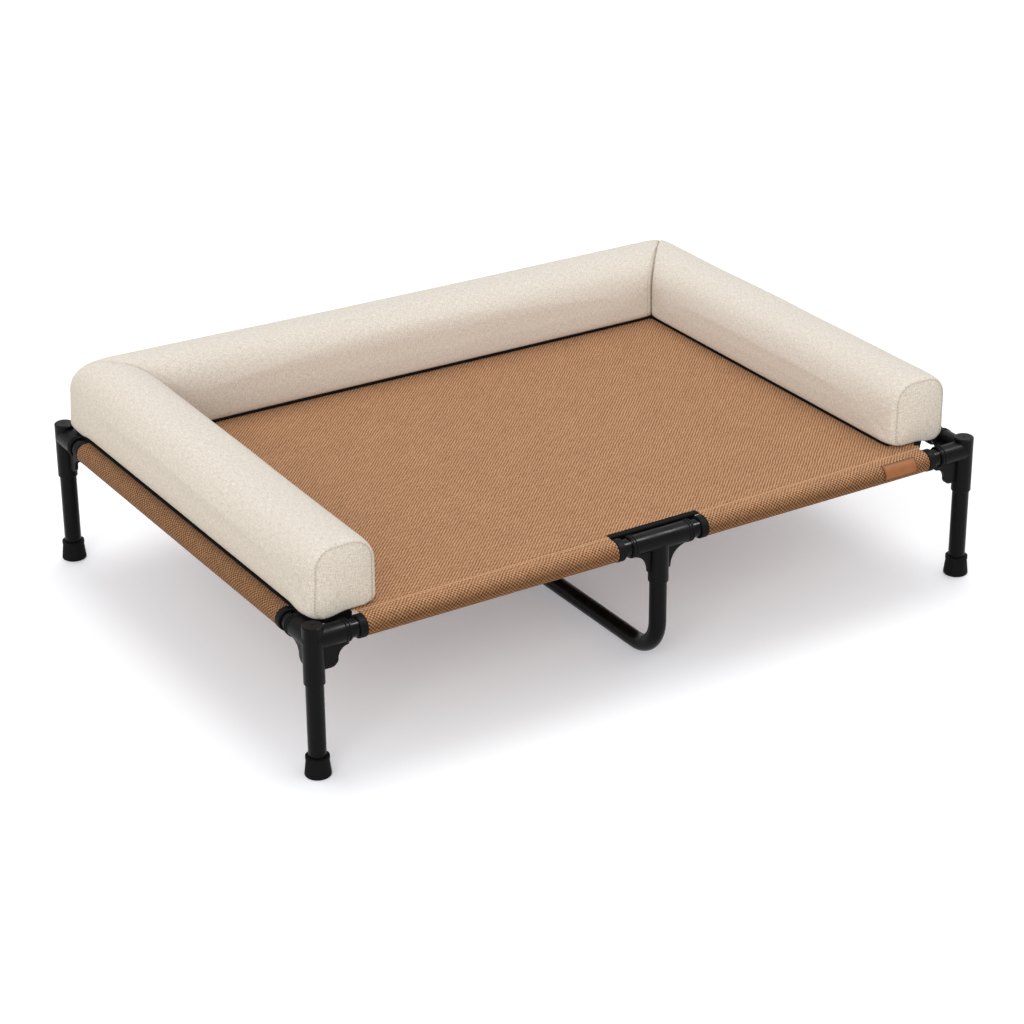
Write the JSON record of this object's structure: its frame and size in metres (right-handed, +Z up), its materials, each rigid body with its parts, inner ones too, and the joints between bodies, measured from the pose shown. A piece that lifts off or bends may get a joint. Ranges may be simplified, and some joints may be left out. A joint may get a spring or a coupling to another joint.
{
  "type": "raised dog cot",
  "caption": "Raised pet cot: black tube frame with push-fit legs and a U-bent centre leg, stretched mesh bed sleeved on the rails, and a mitred bolster round the back and sides.",
  "frame": {"origin": "on the floor, under the middle of the frame", "axes": "+X along the length to the right, +Y to the back, +Z up"},
  "size_m": [1.0742, 0.7692, 0.3089],
  "materials": {
    "moulded_nylon": "satin",
    "painted_tube": "satin",
    "collar_plastic": "matte",
    "foot_rubber": "matte",
    "mesh_cloth": "matte",
    "binding_tape": "matte",
    "patch_leather": "satin",
    "bolster_cloth": "matte",
    "fibre_filling": "matte",
    "base_strip": "matte"
  },
  "bodies": {
    "frame": {"corner_fitting_front_left": "moulded_nylon", "corner_fitting_front_right": "moulded_nylon", "corner_fitting_back_left": "moulded_nylon", "corner_fitting_back_right": "moulded_nylon", "tee_fitting_front": "moulded_nylon", "tee_fitting_back": "moulded_nylon", "rail_front_left": "painted_tube", "rail_front_right": "painted_tube", "rail_back_left": "painted_tube", "rail_back_right": "painted_tube", "side_rail_left": "painted_tube", "side_rail_right": "painted_tube", "collar_outer_front_left": "collar_plastic", "collar_outer_front_right": "collar_plastic", "collar_outer_back_left": "collar_plastic", "collar_outer_back_right": "collar_plastic", "collar_inner_front_left": "collar_plastic", "collar_inner_front_right": "collar_plastic", "collar_inner_back_left": "collar_plastic", "collar_inner_back_right": "collar_plastic", "collar_side_front_left": "collar_plastic", "collar_side_front_right": "collar_plastic", "collar_side_back_left": "collar_plastic", "collar_side_back_right": "collar_plastic", "mesh_panel": "mesh_cloth", "sleeve_front_left": "mesh_cloth", "sleeve_front_right": "mesh_cloth", "sleeve_back_left": "mesh_cloth", "sleeve_back_right": "mesh_cloth", "side_sleeve_left": "mesh_cloth", "side_sleeve_right": "mesh_cloth", "tee_binding_front": "binding_tape", "tee_binding_back": "binding_tape", "corner_binding_front_left": "binding_tape", "corner_binding_front_right": "binding_tape", "corner_binding_back_left": "binding_tape", "corner_binding_back_right": "binding_tape", "leather_patch": "patch_leather"},
    "leg_front_left": {"leg_tube_front_left": "painted_tube", "foot_front_left": "foot_rubber"},
    "leg_front_right": {"leg_tube_front_right": "painted_tube", "foot_front_right": "foot_rubber"},
    "leg_back_left": {"leg_tube_back_left": "painted_tube", "foot_back_left": "foot_rubber"},
    "leg_back_right": {"leg_tube_back_right": "painted_tube", "foot_back_right": "foot_rubber"},
    "centre_support": {"centre_leg": "painted_tube"},
    "bolster": {"bolster_cover_left": "bolster_cloth", "bolster_cover_right": "bolster_cloth", "bolster_cover_back": "bolster_cloth", "bolster_end_left": "bolster_cloth", "bolster_end_right": "bolster_cloth", "bolster_filling_left": "fibre_filling", "bolster_filling_right": "fibre_filling", "bolster_filling_back": "fibre_filling", "bolster_base_left": "base_strip", "bolster_base_right": "base_strip", "bolster_base_back": "base_strip"}
  },
  "joints": [
    {"name": "bolster_lift", "type": "slide", "parent": "frame", "child": "bolster", "axis": [0, 0, 1], "range_m": [0, 0.15]},
    {"name": "leg_pull_front_left", "type": "slide", "parent": "frame", "child": "leg_front_left", "axis": [0, 0, -1], "range_m": [0, 0.05]},
    {"name": "leg_pull_front_right", "type": "slide", "parent": "frame", "child": "leg_front_right", "axis": [0, 0, -1], "range_m": [0, 0.05]},
    {"name": "leg_pull_back_left", "type": "slide", "parent": "frame", "child": "leg_back_left", "axis": [0, 0, -1], "range_m": [0, 0.05]},
    {"name": "leg_pull_back_right", "type": "slide", "parent": "frame", "child": "leg_back_right", "axis": [0, 0, -1], "range_m": [0, 0.05]},
    {"name": "centre_leg_pull", "type": "slide", "parent": "frame", "child": "centre_support", "axis": [0, 0, -1], "range_m": [0, 0.05]}
  ]
}
